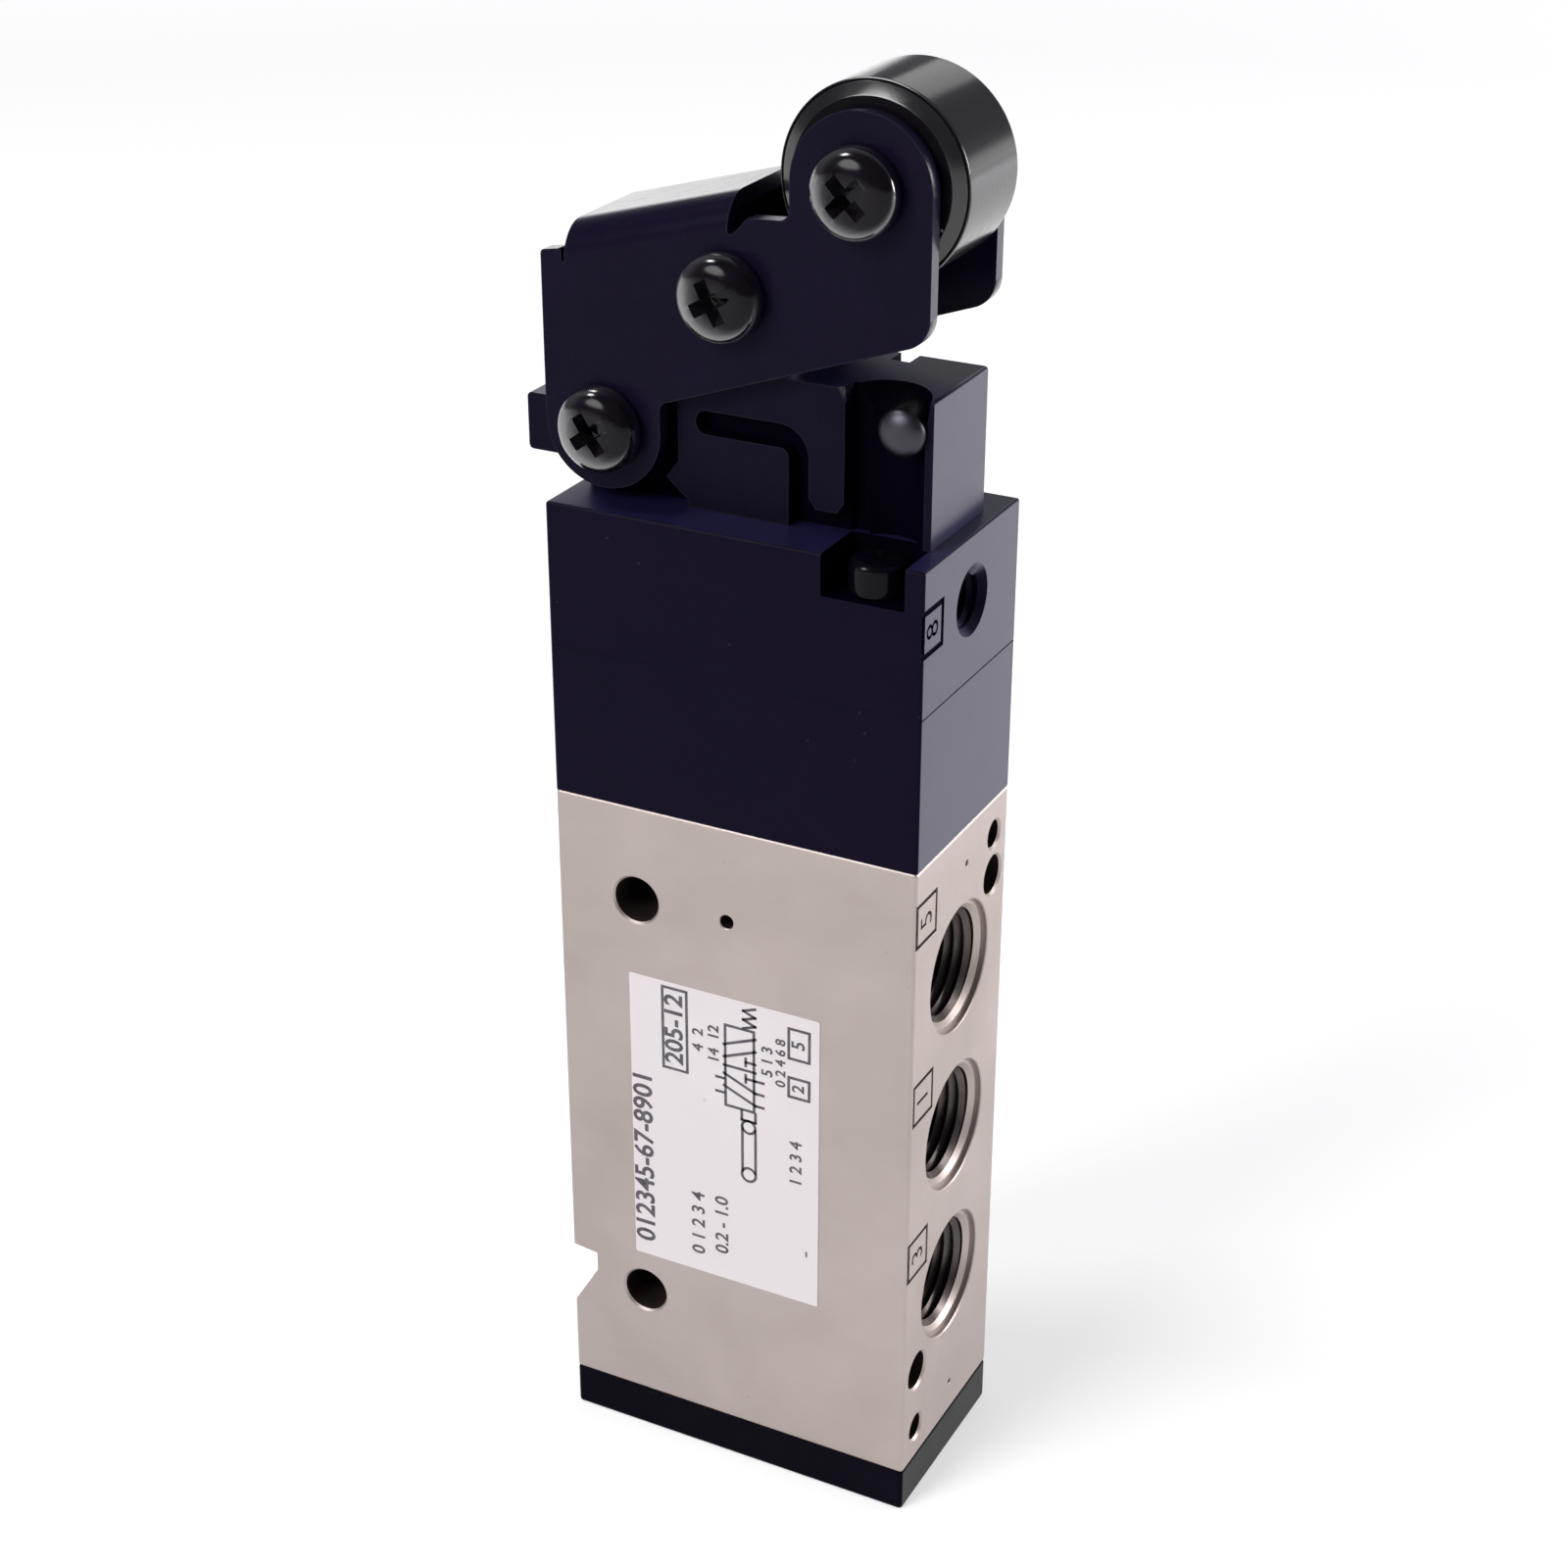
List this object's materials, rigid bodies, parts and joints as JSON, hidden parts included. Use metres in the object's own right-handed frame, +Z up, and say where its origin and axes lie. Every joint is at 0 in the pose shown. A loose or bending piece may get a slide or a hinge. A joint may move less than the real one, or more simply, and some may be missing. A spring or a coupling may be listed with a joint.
{
  "type": "roller lever air valve",
  "caption": "Roller-lever operated spool valve for compressed air, with a satin metal body, threaded ports, black operator blocks and a pivoted lever that carries a steel roller.",
  "frame": {"origin": "centre of the base face, on the bottom of the end cover", "axes": "+Z up along the spool, from the base to the lever; +X towards the face with the supply and exhaust ports; -Y towards the label face"},
  "size_m": [0.0373, 0.0181, 0.123],
  "materials": {
    "cover_resin": "black moulded resin, fine matt",
    "body_aluminium": "satin, bead blasted",
    "housing_resin": "black moulded resin, semi-matt",
    "bracket_casting": "black painted die casting",
    "lever_sheet": "black plated sheet, satin gloss",
    "black_screws": "black plated, glossy",
    "roller_steel": "dark hardened steel, polished",
    "bright_steel": "bright turned steel",
    "brass_inserts": "turned brass",
    "gasket_rubber": "black nitrile rubber",
    "piston_resin": "black moulded resin",
    "spool_aluminium": "turned and ground",
    "spring_steel": "drawn wire"
  },
  "bodies": {
    "valve_body": {"end_cover": "cover_resin", "main_body": "body_aluminium", "piston_housing": "housing_resin", "pilot_body": "housing_resin", "head_bracket": "bracket_casting", "pilot_body_screw_front": "black_screws", "pilot_body_screw_rear": "black_screws", "stop_pin": "bright_steel", "seal_washer": "bright_steel", "bracket_screw_left": "bright_steel", "bracket_screw_right": "bright_steel", "end_cover_screw_left": "bright_steel", "end_cover_screw_right": "bright_steel", "guide_bush": "brass_inserts", "poppet_seat": "brass_inserts", "bracket_gasket": "gasket_rubber", "pilot_gasket": "gasket_rubber", "piston_gasket": "gasket_rubber", "end_cover_seal": "gasket_rubber", "stem_seal": "gasket_rubber", "plunger_spring": "spring_steel", "poppet_spring": "spring_steel", "spool_spring": "spring_steel"},
    "lever": {"lever": "lever_sheet", "pivot_screw": "black_screws", "press_screw": "black_screws", "axle_screw": "black_screws", "pivot_nut": "black_screws", "press_nut": "black_screws", "axle_nut": "black_screws", "pivot_bush": "bright_steel", "axle_bush": "bright_steel"},
    "end_roller": {"end_roller": "roller_steel"},
    "press_roller": {"press_roller": "bright_steel"},
    "plunger": {"plunger": "bright_steel"},
    "poppet": {"poppet": "gasket_rubber"},
    "spool": {"spool": "spool_aluminium", "piston": "piston_resin", "piston_seal": "gasket_rubber", "spool_seal_1": "gasket_rubber", "spool_seal_2": "gasket_rubber", "spool_seal_3": "gasket_rubber", "spool_seal_4": "gasket_rubber", "spool_seal_5": "gasket_rubber", "spool_seal_6": "gasket_rubber"}
  },
  "joints": [
    {"name": "lever_hinge", "type": "hinge", "parent": "valve_body", "child": "lever", "pos_m": [-0.0122, 0, 0.0944], "axis": [0, 1, 0], "range_deg": [0, 9], "stiffness_Nm_per_rad": 0.3, "springref_deg": -20.05},
    {"name": "end_roller_spin", "type": "hinge", "parent": "lever", "child": "end_roller", "pos_m": [0.0095, 0, 0.1154], "axis": [0, 1, 0], "continuous": true},
    {"name": "press_roller_spin", "type": "hinge", "parent": "lever", "child": "press_roller", "pos_m": [-0.0015, 0, 0.1063], "axis": [0, 1, 0], "continuous": true},
    {"name": "plunger_slide", "type": "slide", "parent": "valve_body", "child": "plunger", "axis": [0, 0, -1], "range_m": [0, 0.00183], "deforming": ["plunger_spring"]},
    {"name": "poppet_slide", "type": "slide", "parent": "valve_body", "child": "poppet", "axis": [0, 0, -1], "range_m": [0, 0.00116], "deforming": ["poppet_spring"]},
    {"name": "spool_slide", "type": "slide", "parent": "valve_body", "child": "spool", "axis": [0, 0, -1], "range_m": [0, 0.0025], "stiffness_N_per_m": 400, "springref_m": -0.004, "deforming": ["spool_spring"]}
  ],
  "couplings": [
    {"joint": "plunger_slide", "follows": "lever_hinge", "m_per_rad": 0.01159},
    {"joint": "poppet_slide", "follows": "lever_hinge", "m_per_rad": 0.0073}
  ]
}
